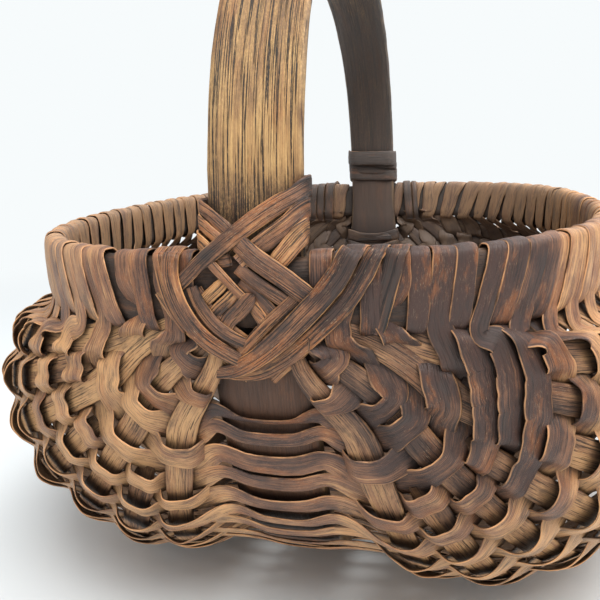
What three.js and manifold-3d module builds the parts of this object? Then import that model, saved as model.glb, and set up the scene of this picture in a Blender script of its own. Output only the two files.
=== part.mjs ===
// Buttocks basket of white-oak splint.
// Two hoops cross at the ears, ribs fan out from ear to ear below the rim in two full lobes,
// a lashing binds each crossing, and long flat splints are woven over and under the ribs,
// across the keel and twice round the rim at every turn. Nothing on it moves.
// Millimetres. +X is to the right, +Y runs from the front ear to the back ear, +Z is up.
import * as THREE from 'three';
import { mergeVertices } from 'three/addons/utils/BufferGeometryUtils.js';
import Module from 'manifold-3d';

// Hoops
const RIM_HALF_WIDTH = 97;
const RIM_HALF_LENGTH = 120;
const RIM_HEIGHT = 18;
const RIM_THICKNESS = 4;
const HANDLE_WIDTH = 24.6;
const KEEL_WIDTH = 28;
const HANDLE_THICKNESS = 5;
const HANDLE_RISE = 106;
const HOOP_SQUARENESS = 2.5;
const HOOP_STEPS = 56;

// Body: the section half-way between the ears, from the rim down to the keel
const KEEL_DEPTH = 115;
const LOBE_SIDE = { out: 129, down: 48 };
const LOBE_HAUNCH = { out: 124, down: 98 };
const LOBE_SEAT = { out: 78, down: 122 };
const LOBE_INNER = { out: 38, down: 121 };
const BODY_HALF_LENGTH = 118;

// Ribs
const RIBS_PER_LOBE = 7;
const RIB_WIDTH = 9;
const RIB_THICKNESS = 1.8;
const RIB_TIP_FULLNESS = 0.6;
const RIB_SHARE_OF_SPACING = 0.42;
const RIB_CROWDING = 1.1;
const RIB_STEP_ROWS = 2;
const FIRST_RIB_TIP = 0.15;
const LATE_RIB_TIP = 0.46;
const RIM_MARGIN = 3.5;
const KEEL_MARGIN = 5.5;

// Weavers
const WEAVERS = 14;
const ROWS_PER_WEAVER = 4;
const FIRST_WRAP_FROM_EAR = 33;
const SPLINT_THICKNESS = 0.8;
const SPLINT_SHARE_OF_PITCH = 0.8;
const WEAVE_SLACK = 0.35;
const SETTLING_PASSES = 12;
const TAIL_PAST_RIB = 4;
const STANDING_FLAT = 0.5;

// Lashings
const LASHING_REACH = 23;
const LASHING_SPLINTS = 5;
const LASHING_THICKNESS = 1.6;
const LASHING_STEP = 0.5;

const GAP = 0.35;

const rows = WEAVERS * ROWS_PER_WEAVER;
const handleHalfLength = RIM_HALF_LENGTH - RIM_THICKNESS / 2 - GAP - HANDLE_THICKNESS / 2;
const wrapOut = RIM_THICKNESS / 2 + GAP + SPLINT_THICKNESS / 2;
const wrapUp = RIM_HEIGHT / 2 + GAP + SPLINT_THICKNESS / 2;
const keelOut = HANDLE_THICKNESS / 2 + GAP + SPLINT_THICKNESS / 2;

// A hoop's shape at an angle from the front ear: how far it has spread, and how far forward it is
const spread = (angle) => Math.sin(angle) ** (2 / HOOP_SQUARENESS);
const forward = (angle) => Math.sign(Math.cos(angle)) * Math.abs(Math.cos(angle)) ** (2 / HOOP_SQUARENESS);

// The middle section of the body as one smooth curve from the left rim to the right rim
const lobePoints = [LOBE_SIDE, LOBE_HAUNCH, LOBE_SEAT, LOBE_INNER];
const sectionCurve = new THREE.SplineCurve([
  new THREE.Vector2(-RIM_HALF_WIDTH, 0),
  ...lobePoints.map((p) => new THREE.Vector2(-p.out, -p.down)),
  new THREE.Vector2(0, -KEEL_DEPTH),
  ...lobePoints.toReversed().map((p) => new THREE.Vector2(p.out, -p.down)),
  new THREE.Vector2(RIM_HALF_WIDTH, 0),
]);
sectionCurve.arcLengthDivisions = 600;
const halfSection = sectionCurve.getLength() / 2;

// A point of the body: angle from the front ear, share of the way from rim to keel, and lobe side
function bodyPoint(angle, share, side) {
  const size = spread(angle);
  const length = halfSection * size;
  const start = RIM_HEIGHT / 2 + RIM_MARGIN;
  const free = length - start - KEEL_WIDTH / 2 - KEEL_MARGIN;
  const p = sectionCurve.getPointAt(1 - (start + share * free) / (2 * length));
  return new THREE.Vector3(side * p.x * size, -BODY_HALF_LENGTH * forward(angle), p.y * size);
}

function bodyFrame(angle, share, side) {
  const step = 0.002;
  const at = bodyPoint(angle, share, side);
  const back = bodyPoint(angle + step, share, side).sub(bodyPoint(angle - step, share, side)).normalize();
  const down = bodyPoint(angle, share + step, side).sub(bodyPoint(angle, share - step, side)).normalize();
  const out = new THREE.Vector3().crossVectors(down, back).multiplyScalar(side).normalize();
  return { at, back, down, out };
}

function freeLength(angle) {
  return halfSection * spread(angle) - (RIM_HEIGHT + KEEL_WIDTH) / 2 - RIM_MARGIN - KEEL_MARGIN;
}

// A flat strip through stations {at, across, width, thickness}. Its thickness is mitred at each bend.
function strip(stations, closed = false) {
  const count = stations.length;
  const positions = [];
  const faces = [];
  const facing = (a, b, across) => new THREE.Vector3().subVectors(b.at, a.at).cross(across).negate().normalize();
  stations.forEach((station, i) => {
    const before = stations[closed ? (i + count - 1) % count : Math.max(i - 1, 0)];
    const after = stations[closed ? (i + 1) % count : Math.min(i + 1, count - 1)];
    const first = facing(before === station ? station : before, before === station ? after : station, station.across);
    const second = facing(after === station ? before : station, after === station ? station : after, station.across);
    const mitre = first.clone().add(second).divideScalar(1 + Math.max(first.dot(second), -0.5));
    for (const [u, v] of [[1, 1], [-1, 1], [-1, -1], [1, -1]]) {
      const corner = station.at.clone();
      corner.addScaledVector(station.across, (u * station.width) / 2);
      corner.addScaledVector(mitre, (v * station.thickness) / 2);
      positions.push(...corner.toArray());
    }
  });
  for (let i = 0; i < (closed ? count : count - 1); i += 1) {
    for (let k = 0; k < 4; k += 1) {
      const [a, b] = [4 * i + k, 4 * i + ((k + 1) % 4)];
      const [c, d] = [4 * ((i + 1) % count) + ((k + 1) % 4), 4 * ((i + 1) % count) + k];
      faces.push(a, c, b, a, d, c);
    }
  }
  if (!closed) {
    const last = 4 * (count - 1);
    faces.push(0, 2, 3, 0, 1, 2, last, last + 2, last + 1, last, last + 3, last + 2);
  }
  const geometry = new THREE.BufferGeometry();
  geometry.setAttribute('position', new THREE.Float32BufferAttribute(positions, 3));
  geometry.setIndex(faces);
  return geometry;
}

// Solids for joining and cutting
const wasm = await Module();
wasm.setup();

function toSolid(geometry) {
  const bare = geometry.clone();
  bare.deleteAttribute('normal');
  bare.deleteAttribute('uv');
  const merged = mergeVertices(bare, 1e-4);
  return new wasm.Manifold(
    new wasm.Mesh({
      numProp: 3,
      vertProperties: new Float32Array(merged.attributes.position.array),
      triVerts: new Uint32Array(merged.index.array),
    }),
  );
}

function toGeometry(solid) {
  const mesh = solid.getMesh();
  const geometry = new THREE.BufferGeometry();
  geometry.setAttribute('position', new THREE.BufferAttribute(mesh.vertProperties, 3));
  geometry.setIndex(new THREE.BufferAttribute(mesh.triVerts, 1));
  return geometry;
}

// Hoops
const UP = new THREE.Vector3(0, 0, 1);
const RIGHT = new THREE.Vector3(1, 0, 0);

// The keel widens from the handle's width below the lashing
const keelWidth = (size) => HANDLE_WIDTH + (KEEL_WIDTH - HANDLE_WIDTH) * Math.min(1, (size * KEEL_DEPTH) / LASHING_REACH);

function handleHoop(clearance = 0) {
  const stations = [];
  for (let i = 0; i < HOOP_STEPS; i += 1) {
    const turn = (2 * Math.PI * (i + 0.5)) / HOOP_STEPS;
    const above = turn < Math.PI;
    const size = spread(above ? turn : turn - Math.PI);
    const width = above ? HANDLE_WIDTH : keelWidth(size);
    stations.push({
      at: new THREE.Vector3(0, -handleHalfLength * forward(turn), above ? HANDLE_RISE * size : -KEEL_DEPTH * size),
      across: RIGHT,
      width: width + 2 * clearance,
      thickness: HANDLE_THICKNESS + 2 * clearance,
    });
  }
  return strip(stations, true);
}

function rimHoop(clearance = 0) {
  const stations = [];
  for (let i = 0; i < HOOP_STEPS; i += 1) {
    const turn = (2 * Math.PI * (i + 0.5)) / HOOP_STEPS;
    const side = turn < Math.PI ? 1 : -1;
    const sideways = side * RIM_HALF_WIDTH * spread(turn < Math.PI ? turn : turn - Math.PI);
    stations.push({
      at: new THREE.Vector3(sideways, -RIM_HALF_LENGTH * forward(turn), 0),
      across: UP,
      width: RIM_HEIGHT + 2 * clearance,
      thickness: RIM_THICKNESS + 2 * clearance,
    });
  }
  return strip(stations, true);
}

// Ribs: the odd ones start at the lashing, the even ones where the lobe has opened out
const ribShare = (rib) => (rib / (RIBS_PER_LOBE + 1)) ** RIB_CROWDING;
const ribTip = (rib) => (rib % 2 === 1 ? FIRST_RIB_TIP : LATE_RIB_TIP);
const angleOfSpread = (size) => Math.asin(size ** (HOOP_SQUARENESS / 2));

function ribsAt(angle) {
  const all = Array.from({ length: RIBS_PER_LOBE }, (_, i) => i + 1);
  return all.filter((rib) => angle > angleOfSpread(ribTip(rib)) && angle < Math.PI - angleOfSpread(ribTip(rib)));
}

function ribWidth(angle) {
  const gaps = spread(angle) < LATE_RIB_TIP ? (RIBS_PER_LOBE + 1) / 2 : RIBS_PER_LOBE + 1;
  return Math.min(RIB_WIDTH, (RIB_SHARE_OF_SPACING * freeLength(angle)) / gaps);
}

function rib(number, side) {
  const tip = angleOfSpread(ribTip(number));
  const angles = [tip];
  for (let row = 0.5; row < rows - 1; row += RIB_STEP_ROWS) {
    if (rowAngle(row) > tip && rowAngle(row) < Math.PI - tip) angles.push(rowAngle(row));
  }
  angles.push(Math.PI - tip);
  const stations = angles.map((angle, i) => {
    const frame = bodyFrame(angle, ribShare(number), side);
    const fullness = i === 0 || i === angles.length - 1 ? RIB_TIP_FULLNESS : 1;
    return {
      at: frame.at,
      across: frame.down.multiplyScalar(side),
      width: ribWidth(angle) * fullness,
      thickness: RIB_THICKNESS * fullness,
    };
  });
  return strip(stations);
}

// Rows of weaving lie at equal steps along the rim
const RIM_SAMPLES = 1500;
const rimLengths = [0];
for (let i = 1; i <= RIM_SAMPLES; i += 1) {
  const [a, b] = [(Math.PI * (i - 1)) / RIM_SAMPLES, (Math.PI * i) / RIM_SAMPLES];
  const sideways = RIM_HALF_WIDTH * (spread(b) - spread(a));
  const lengthways = RIM_HALF_LENGTH * (forward(b) - forward(a));
  rimLengths.push(rimLengths[i - 1] + Math.hypot(sideways, lengthways));
}
const rowPitch = (rimLengths[RIM_SAMPLES] - 2 * FIRST_WRAP_FROM_EAR) / (rows - 1);

function rowAngle(row) {
  const length = FIRST_WRAP_FROM_EAR + rowPitch * row;
  const i = rimLengths.findIndex((value) => value > length);
  const part = (length - rimLengths[i - 1]) / (rimLengths[i] - rimLengths[i - 1]);
  return (Math.PI * (i - 1 + part)) / RIM_SAMPLES;
}

// One crossing of a row over (lift 1) or under (lift -1) a rib
function ribCrossing(row, number, side, lift) {
  const angle = rowAngle(row);
  const frame = bodyFrame(angle, ribShare(number), side);
  const next = bodyPoint(rowAngle(row + 1), ribShare(number), side);
  const last = bodyPoint(rowAngle(row - 1), ribShare(number), side);
  return {
    at: frame.at.clone(),
    across: frame.back,
    width: (SPLINT_SHARE_OF_PITCH * next.distanceTo(last)) / 2,
    thickness: SPLINT_THICKNESS,
    rib: { ...frame, lift, halfWidth: ribWidth(angle) / 2 },
  };
}

// Lift the row off each rib until its straight runs to both neighbours clear the rib's edges
function settle(stations) {
  const clear = (RIB_THICKNESS + SPLINT_THICKNESS) / 2 + GAP + WEAVE_SLACK;
  for (let pass = 0; pass < SETTLING_PASSES; pass += 1) {
    stations.forEach((station, i) => {
      if (!station.rib) return;
      const { at, down, out, lift, halfWidth } = station.rib;
      const rises = [stations[i - 1], stations[i + 1]].map((neighbour) => {
        const offset = neighbour.at.clone().sub(at);
        const part = halfWidth / Math.abs(offset.dot(down));
        return (clear - part * lift * offset.dot(out)) / (1 - part);
      });
      station.at = at.clone().addScaledVector(out, lift * Math.max(clear, ...rises));
    });
  }
}

function keelPoint(angle) {
  return new THREE.Vector3(0, -handleHalfLength * forward(angle), -KEEL_DEPTH * spread(angle));
}

function keelCrossing(row, side, lift) {
  const angle = rowAngle(row);
  const step = 0.002;
  const back = keelPoint(angle + step).sub(keelPoint(angle - step)).normalize();
  const out = new THREE.Vector3().crossVectors(back, RIGHT);
  const at = keelPoint(angle).addScaledVector(out, lift * keelOut);
  at.x = side * (KEEL_WIDTH / 2 + GAP + SPLINT_THICKNESS);
  const pitch = keelPoint(rowAngle(row + 1)).distanceTo(keelPoint(rowAngle(row - 1))) / 2;
  return { at, across: back, width: SPLINT_SHARE_OF_PITCH * pitch, thickness: SPLINT_THICKNESS };
}

// A corner of a wrap round the rim: inside or outside the hoop, at its top or bottom edge
function rimCorner(row, side, outward, upward) {
  const angle = rowAngle(row);
  const step = 0.002;
  const point = (a) => new THREE.Vector3(side * RIM_HALF_WIDTH * spread(a), -RIM_HALF_LENGTH * forward(a), 0);
  const back = point(angle + step).sub(point(angle - step)).normalize();
  const out = new THREE.Vector3().crossVectors(back, UP).multiplyScalar(side);
  const at = point(angle).addScaledVector(out, outward * wrapOut);
  at.z = upward * wrapUp;
  return { at, across: back, width: SPLINT_SHARE_OF_PITCH * rowPitch, thickness: SPLINT_THICKNESS };
}

// Even rows run from left to right and pass outside the first rib, odd rows come back inside it
function rowStations(row) {
  const ribs = ribsAt(rowAngle(row));
  const warps = [
    ...ribs.map((number) => ({ number, side: -1 })),
    { number: 0, side: 0 },
    ...ribs.toReversed().map((number) => ({ number, side: 1 })),
  ];
  const stations = warps.flatMap((warp, i) => {
    const lift = (i + row) % 2 === 0 ? 1 : -1;
    if (warp.number === 0) return [keelCrossing(row, -1, lift), keelCrossing(row, 1, lift)];
    return [ribCrossing(row, warp.number, warp.side, lift)];
  });
  const even = row % 2 === 0;
  const start = rimCorner(even ? row : row - 0.5, -1, even ? 1 : -1, -1);
  const end = rimCorner(even ? row : row + 0.5, 1, even ? 1 : -1, -1);
  settle([start, ...stations, end]);
  return even ? stations : stations.reverse();
}

// The turn that leads from one row into the next goes twice round the rim
function turnStations(row) {
  const side = row % 2 === 0 ? 1 : -1;
  const outwardFirst = row % 2 === 0;
  const wraps = outwardFirst
    ? [[row, 1], [row + 0.5, -1], [row + 1, 1], [row + 1.5, -1]]
    : [[row - 0.5, -1], [row, 1], [row + 0.5, -1], [row + 1, 1]];
  return wraps.flatMap(([place, outward], i) => {
    const rising = i % 2 === 0;
    return [
      rimCorner(place, side, outward, rising ? -1 : 1),
      rimCorner(place, side, outward, rising ? 1 : -1),
    ];
  });
}

function weaver(index) {
  const firstRow = index * ROWS_PER_WEAVER;
  const lastRow = firstRow + ROWS_PER_WEAVER - 1;
  const start = turnStations(firstRow - 1).slice(index === 0 ? 4 : 0);
  const stations = [...start];
  for (let row = firstRow; row <= lastRow; row += 1) {
    stations.push(...rowStations(row));
    if (row < lastRow) stations.push(...turnStations(row));
  }
  if (lastRow === rows - 1) {
    stations.push(...turnStations(lastRow).slice(0, 4));
  } else {
    const end = stations[stations.length - 1];
    const towardRim = rimCorner(lastRow, -1, -1, -1).at.sub(end.at).setLength(TAIL_PAST_RIB + ribWidth(rowAngle(lastRow)) / 2);
    stations.push({ ...end, at: end.at.clone().add(towardRim) });
  }
  return toSolid(strip(stations));
}

// A lashing: splints laid in diamonds over the crossing, bound round the four arms
function diamond(outer, inner, back, front) {
  const shape = new THREE.Shape([
    new THREE.Vector2(outer, 0),
    new THREE.Vector2(0, outer),
    new THREE.Vector2(-outer, 0),
    new THREE.Vector2(0, -outer),
  ]);
  if (inner > 0) {
    shape.holes.push(
      new THREE.Path([
        new THREE.Vector2(inner, 0),
        new THREE.Vector2(0, -inner),
        new THREE.Vector2(-inner, 0),
        new THREE.Vector2(0, inner),
      ]),
    );
  }
  const geometry = new THREE.ExtrudeGeometry(shape, { depth: front - back, bevelEnabled: false });
  geometry.rotateX(Math.PI / 2);
  geometry.translate(0, -back, 0);
  return toSolid(geometry);
}

function block(x, y, z) {
  const geometry = new THREE.BoxGeometry(x[1] - x[0], y[1] - y[0], z[1] - z[0]);
  geometry.translate((x[0] + x[1]) / 2, (y[0] + y[1]) / 2, (z[0] + z[1]) / 2);
  return toSolid(geometry);
}

function lashing(hoopSpace, end) {
  const face = RIM_HALF_LENGTH + RIM_THICKNESS / 2 + GAP;
  const splint = LASHING_REACH / LASHING_SPLINTS;
  let body = null;
  for (let i = 0; i < LASHING_SPLINTS; i += 1) {
    const inner = i === 0 ? 0 : i * splint - GAP;
    const layer = diamond((i + 1) * splint, inner, face, face + LASHING_THICKNESS + i * LASHING_STEP);
    body = body === null ? layer : body.add(layer);
  }
  const wall = GAP + LASHING_THICKNESS;
  const halfRim = RIM_HEIGHT / 2 + wall;
  const front = face + LASHING_THICKNESS;
  const behindRim = RIM_HALF_LENGTH * forward(angleOfSpread(LASHING_REACH / RIM_HALF_WIDTH)) - RIM_THICKNESS / 2 - wall;
  const behindHandle =
    handleHalfLength * forward(angleOfSpread(LASHING_REACH / HANDLE_RISE)) - HANDLE_THICKNESS / 2 - wall;
  for (const side of [-1, 1]) {
    const halfHandle = (side > 0 ? HANDLE_WIDTH : KEEL_WIDTH) / 2 + wall;
    const reach = [side * (HANDLE_WIDTH / 2 + GAP), side * LASHING_REACH].sort((a, b) => a - b);
    const rise = [side * (RIM_HEIGHT / 2 + GAP), side * LASHING_REACH].sort((a, b) => a - b);
    body = body.add(block(reach, [-front, -behindRim], [-halfRim, halfRim]));
    body = body.add(block([-halfHandle, halfHandle], [-front, -behindHandle], rise));
  }
  const bound = body.subtract(hoopSpace);
  return end === 'front' ? bound : bound.mirror([0, 1, 0]);
}

// Materials
const oak = (color, roughness) => new THREE.MeshStandardMaterial({ color, roughness, metalness: 0 });
const handleOak = oak(0xb08a5c, 0.55);
const rimOak = oak(0x6e4a30, 0.6);
const ribOak = oak(0x9a7248, 0.65);
const weaverOak = oak(0x6b4a35, 0.6);
const lashingOak = oak(0x8a5a36, 0.6);

// Assembly: the weaving is trimmed to a level where the basket stands, and that level is the ground
const weaverSolids = Array.from({ length: WEAVERS }, (_, i) => weaver(i));
const lowest = Math.min(...weaverSolids.map((solid) => solid.boundingBox().min[2]));
const ground = lowest + STANDING_FLAT;
const underGround = block([-RIM_HALF_LENGTH * 2, RIM_HALF_LENGTH * 2], [-RIM_HALF_LENGTH * 2, RIM_HALF_LENGTH * 2],
  [ground - KEEL_DEPTH, ground]);

const group = new THREE.Group();

function addPiece(name, geometry, material) {
  const mesh = new THREE.Mesh(geometry, material);
  mesh.name = name;
  mesh.position.z = -ground;
  group.add(mesh);
}

addPiece('handle_hoop', handleHoop(), handleOak);
addPiece('rim_hoop', rimHoop(), rimOak);
for (const [label, side] of [['left', -1], ['right', 1]]) {
  for (let number = 1; number <= RIBS_PER_LOBE; number += 1) {
    addPiece(`rib_${label}_${number}`, rib(number, side), ribOak);
  }
}
const hoopSpace = toSolid(handleHoop(GAP)).add(toSolid(rimHoop(GAP)));
addPiece('lashing_front', toGeometry(lashing(hoopSpace, 'front')), lashingOak);
addPiece('lashing_back', toGeometry(lashing(hoopSpace, 'back')), lashingOak);
weaverSolids.forEach((solid, i) => {
  addPiece(`weaver_${i + 1}`, toGeometry(solid.subtract(underGround)), weaverOak);
});

export default group;
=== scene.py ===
import itertools
import math

import bpy
import numpy as np
from mathutils import Matrix, Vector

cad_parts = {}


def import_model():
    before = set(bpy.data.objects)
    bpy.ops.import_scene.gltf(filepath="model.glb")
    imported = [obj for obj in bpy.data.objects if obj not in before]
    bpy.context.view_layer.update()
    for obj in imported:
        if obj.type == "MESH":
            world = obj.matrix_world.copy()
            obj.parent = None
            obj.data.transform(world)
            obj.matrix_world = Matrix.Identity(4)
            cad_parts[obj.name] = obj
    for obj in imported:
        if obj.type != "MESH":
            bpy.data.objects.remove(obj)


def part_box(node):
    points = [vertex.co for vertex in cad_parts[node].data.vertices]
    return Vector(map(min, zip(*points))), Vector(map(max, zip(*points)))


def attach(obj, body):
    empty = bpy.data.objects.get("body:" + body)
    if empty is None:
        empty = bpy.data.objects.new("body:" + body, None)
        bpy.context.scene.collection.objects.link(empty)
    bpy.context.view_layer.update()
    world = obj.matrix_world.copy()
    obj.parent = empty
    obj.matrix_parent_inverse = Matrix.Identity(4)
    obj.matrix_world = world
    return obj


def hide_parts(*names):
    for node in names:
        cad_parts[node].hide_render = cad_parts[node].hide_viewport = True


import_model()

# Buttocks basket of white-oak splint. Shapes are worked out in millimetres, with +Z measured from
# the middle of the rim, and go into the meshes in metres. Left is -X, and the front ear is at -Y.
MM = 0.001

# Hoops
RIM_HALF_WIDTH = 97
RIM_HALF_LENGTH = 120
RIM_HEIGHT = 18
RIM_THICKNESS = 4
HANDLE_WIDTH = 24.6
KEEL_WIDTH = 28
HANDLE_THICKNESS = 5
HANDLE_RISE = 106
HOOP_SQUARENESS = 2.5
HOOP_STATIONS = 260
HOOP_ROUNDNESS = 12

# Body. A lobe's middle section passes through points given outward and down from the rim's middle.
KEEL_DEPTH = 115
LOBE = [(127.6, 47), (119, 92), (77.5, 122.8), (38, 120.8)]
SECTION_SAMPLES = 4001
BODY_HALF_LENGTH = 118
RIM_MARGIN = 3.5
KEEL_MARGIN = 5.5
EAR_RIM_MARGIN = 8.0
EAR_KEEL_MARGIN = 9.0
EAR_SPREAD = (0.12, 0.34)
EAR_PROUD = 3.0
EAR_PROUD_SPREAD = (0.14, 0.32)

# Ribs. A tip is the spread at which a rib starts. An ear share is its place at the ear, where the rim
# is 0 and the keel 1.
RIBS_PER_LOBE = 7
RIB_WIDTH = 9.6
RIB_THICKNESS = 1.8
RIB_CROWDING = 1.1
RIB_SHARE_OF_SPACING = 0.62
RIB_SHARE_BEFORE_LATE_RIBS = 0.12
LATE_RIB_SPREAD = (0.34, 0.58)
RIB_TIPS = {1: 0.33, 2: 0.46, 3: 0.07, 4: 0.46, 5: 0.07, 6: 0.46, 7: 0.07}
EAR_SHARES = {1: -0.1, 3: 0.1, 5: 0.5, 7: 0.9}
FAN_SPREAD = (0.15, 0.4)
SPACES_AT_SPREAD = ((0.07, 0.15, 0.34, 0.58), (1.4, 2.7, 4, 8))
RIB_STATIONS = 150

# Weaving. Keel bands are the rows near an ear that pass outside the keel: place in rows, and width.
WEAVERS = 14
ROWS_PER_WEAVER = 4
EXTRA_ROWS = 3
FLOATING_ROWS = range(3, 6)
FLOATED_RIBS = (1, 2, 3)
FLOAT_PROUD = 1.0
FLOAT_LEAN = 1.1
KEEL_BANDS = {-1: (-0.6, 2.2), 0: (0.25, 4.6), 2: (1.75, 6.6), 3: (2.9, 5.2), 5: (4.45, 7.0), 6: (5.9, 5.8)}
KEEL_BAND_ROWS = 7
KEEL_BAND_SAG = 0.45
DRAWN_IN = 1.4
DRAWN_IN_RIGHT = 0.9
FIRST_WRAP_FROM_EAR = 33
WRAP_STATIONS = 44
WRAP_SQUARENESS = 3.6
WRAP_SLANT = 0.6
WRAP_LAYER = 0.35
FOOT_PROUD = 1.6
SPLINT_THICKNESS = 0.8
SPLINT_SHARE_OF_PITCH = 1.18
SPLINT_WIDTHS = (3.4, 8.8)
KEEL_SHARE_OF_PITCH = 0.92
LEAST_WIDTH_BESIDE_KEEL = 4.8
SAMPLE_STEP = 0.9
GAP = 0.35
RIB_GAP = 0.15
# Grime and painted shade where a splint passes under a rib or the keel
HIDDEN_GRIME_AND_SHADE = 0.6

# A small step for finding directions, in radians or as a share
SMALL_STEP = 0.002

rows = WEAVERS * ROWS_PER_WEAVER
handle_half_length = RIM_HALF_LENGTH - RIM_THICKNESS / 2 - GAP - HANDLE_THICKNESS / 2
wrap_out = RIM_THICKNESS / 2 + GAP + SPLINT_THICKNESS / 2
wrap_up = RIM_HEIGHT / 2 + GAP + SPLINT_THICKNESS / 2
keel_out = HANDLE_THICKNESS / 2 + GAP + SPLINT_THICKNESS / 2
rib_out = (RIB_THICKNESS + SPLINT_THICKNESS) / 2 + RIB_GAP

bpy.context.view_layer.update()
rim_low, rim_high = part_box("rim_hoop")
rim_level = (rim_low[2] + rim_high[2]) / 2


# The hoops are superellipses. An angle runs from the front ear to the back one, and a hoop's spread
# is 0 at the ears and 1 halfway.
def spread(angle):
    return np.maximum(np.sin(angle), 0) ** (2 / HOOP_SQUARENESS)


def forward(angle):
    c = np.cos(angle)
    return np.sign(c) * np.abs(c) ** (2 / HOOP_SQUARENESS)


def angle_of_spread(size):
    return np.arcsin(np.minimum(size, 1) ** (HOOP_SQUARENESS / 2))


def unit(v):
    return v / np.maximum(np.linalg.norm(v, axis=-1, keepdims=True), 1e-9)


def even_part(value, low, high):
    return np.clip((value - low) / (high - low), 0, 1)


def smooth_part(value, low, high):
    t = even_part(value, low, high)
    return t * t * (3 - 2 * t)


def lengths_along(points):
    return np.concatenate([[0], np.cumsum(np.linalg.norm(np.diff(points, axis=0), axis=1))])


# The middle section of the body, from the left rim under the keel to the right rim
def middle_section():
    left = [(-RIM_HALF_WIDTH, 0)] + [(-out, -down) for out, down in LOBE]
    points = np.array(left + [(0, -KEEL_DEPTH)] + [(-x, z) for x, z in reversed(left)], float)
    last = len(points) - 1
    at = np.linspace(0, last, SECTION_SAMPLES)
    i = at.astype(int)
    t = (at - i)[:, None]
    before, here = points[np.maximum(i - 1, 0)], points[i]
    after, later = points[np.minimum(i + 1, last)], points[np.minimum(i + 2, last)]
    v0, v1 = (after - before) / 2, (later - here) / 2
    cubic = 2 * here - 2 * after + v0 + v1
    square = -3 * here + 3 * after - 2 * v0 - v1
    curve = cubic * t**3 + square * t**2 + v0 * t + here
    return curve, lengths_along(curve)


section_curve, section_length = middle_section()
half_section = section_length[-1] / 2


def section_at(part):
    length = part * section_length[-1]
    return (np.interp(length, section_length, section_curve[:, 0]),
            np.interp(length, section_length, section_curve[:, 1]))


# The ribs close up to the rim and the keel as they go in behind the lashing
def margins(size):
    away = smooth_part(size, *EAR_SPREAD)
    part = np.minimum(size / EAR_SPREAD[0], 1)
    below_rim = EAR_RIM_MARGIN + (RIM_HEIGHT / 2 + RIM_MARGIN - EAR_RIM_MARGIN) * away
    beside_keel = EAR_KEEL_MARGIN + (KEEL_WIDTH / 2 + KEEL_MARGIN - EAR_KEEL_MARGIN) * away
    return below_rim * part, beside_keel * part


def free_length(angle):
    below_rim, beside_keel = margins(spread(angle))
    return half_section * spread(angle) - below_rim - beside_keel


# A point on one lobe, at a share of the way from the rim to the keel. The side is -1 or 1.
def body_point(angle, share, side):
    size = spread(angle)
    start = margins(size)[0]
    x, z = section_at(1 - (start + share * free_length(angle)) / (2 * half_section * size))
    half_length = BODY_HALF_LENGTH + EAR_PROUD * (1 - smooth_part(size, *EAR_PROUD_SPREAD))
    return np.stack([side * x * size, -half_length * forward(angle) + 0 * x, z * size], -1)


# A point on the body and the directions back, down and out from it
def body_frame(angle, share, side):
    step = SMALL_STEP
    back = unit(body_point(angle + step, share, side) - body_point(angle - step, share, side))
    down = unit(body_point(angle, share + step, side) - body_point(angle, share - step, side))
    return body_point(angle, share, side), back, down, unit(np.cross(down, back)) * side


# Rows of weaving at equal steps along the rim
rim_turns = np.linspace(0, math.pi, 1501)
rim_lengths = lengths_along(np.stack([RIM_HALF_WIDTH * spread(rim_turns),
                                      RIM_HALF_LENGTH * forward(rim_turns)], -1))
row_pitch = (rim_lengths[-1] - 2 * FIRST_WRAP_FROM_EAR) / (rows - 1)


def row_angle(row):
    return np.interp(FIRST_WRAP_FROM_EAR + row_pitch * row, rim_lengths, rim_turns)


def rows_from_end(row):
    return min(row, rows - 1 - row)


def toward_middle(row):
    return 1 if row < rows / 2 else -1


# A rib's place between the rim and the keel. Three ribs share the room beside the lashing.
def rib_share(number, angle):
    full = (number / (RIBS_PER_LOBE + 1)) ** RIB_CROWDING
    at_ear = EAR_SHARES.get(number, full)
    return at_ear + (full - at_ear) * smooth_part(spread(angle), *FAN_SPREAD)


def ribs_at(row):
    reach = spread(row_angle(row))
    return [n for n in range(1, RIBS_PER_LOBE + 1) if reach > RIB_TIPS[n]]


# A rib narrows toward the ears, and narrows sooner where the late ribs come in beside it
def rib_width(angle):
    late = even_part(spread(angle), *LATE_RIB_SPREAD)
    spaces = np.interp(spread(angle), *SPACES_AT_SPREAD)
    share = RIB_SHARE_OF_SPACING + RIB_SHARE_BEFORE_LATE_RIBS * (1 - late)
    return np.minimum(RIB_WIDTH, share * np.maximum(free_length(angle), 4) / spaces)


# How much darker the wood is over the front right and at the keel near both ears, 0 to 1
def shadowed(points):
    x, y, z = points.T
    at_keel = 0.55 * (1 - smooth_part(np.abs(x), 12, 20)) * smooth_part(np.abs(y), 60, 90)
    below_rim = 6 * smooth_part(-z, 8, 25)
    front_right = smooth_part(x, 2, 44) * smooth_part(-y - below_rim, 95, 102) * smooth_part(z, -80, -40)
    return np.maximum(front_right, at_keel)


# Smooth random wander along a length, about -1 to 1
def wander(length, step, rng):
    knots = rng.uniform(-1, 1, int(length[-1] / step) + 3)
    at = length / step
    i = at.astype(int)
    t = smooth_part(at - i, 0, 1)
    return knots[i] * (1 - t) + knots[i + 1] * t


# One place on a splint's middle line, with how much grime and painted shade darken the wood there, from 0 to
# 1, and lean, how far the splint's edge is raised.
def station(at, across, width, grime_and_shade_amount=0.0, lean=0.0):
    return {"at": at, "across": across, "width": width, "grime_and_shade_amount": grime_and_shade_amount, "lean": lean}


def as_line(stations):
    return {key: np.array([s[key] for s in stations], float) for key in stations[0]}


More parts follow.
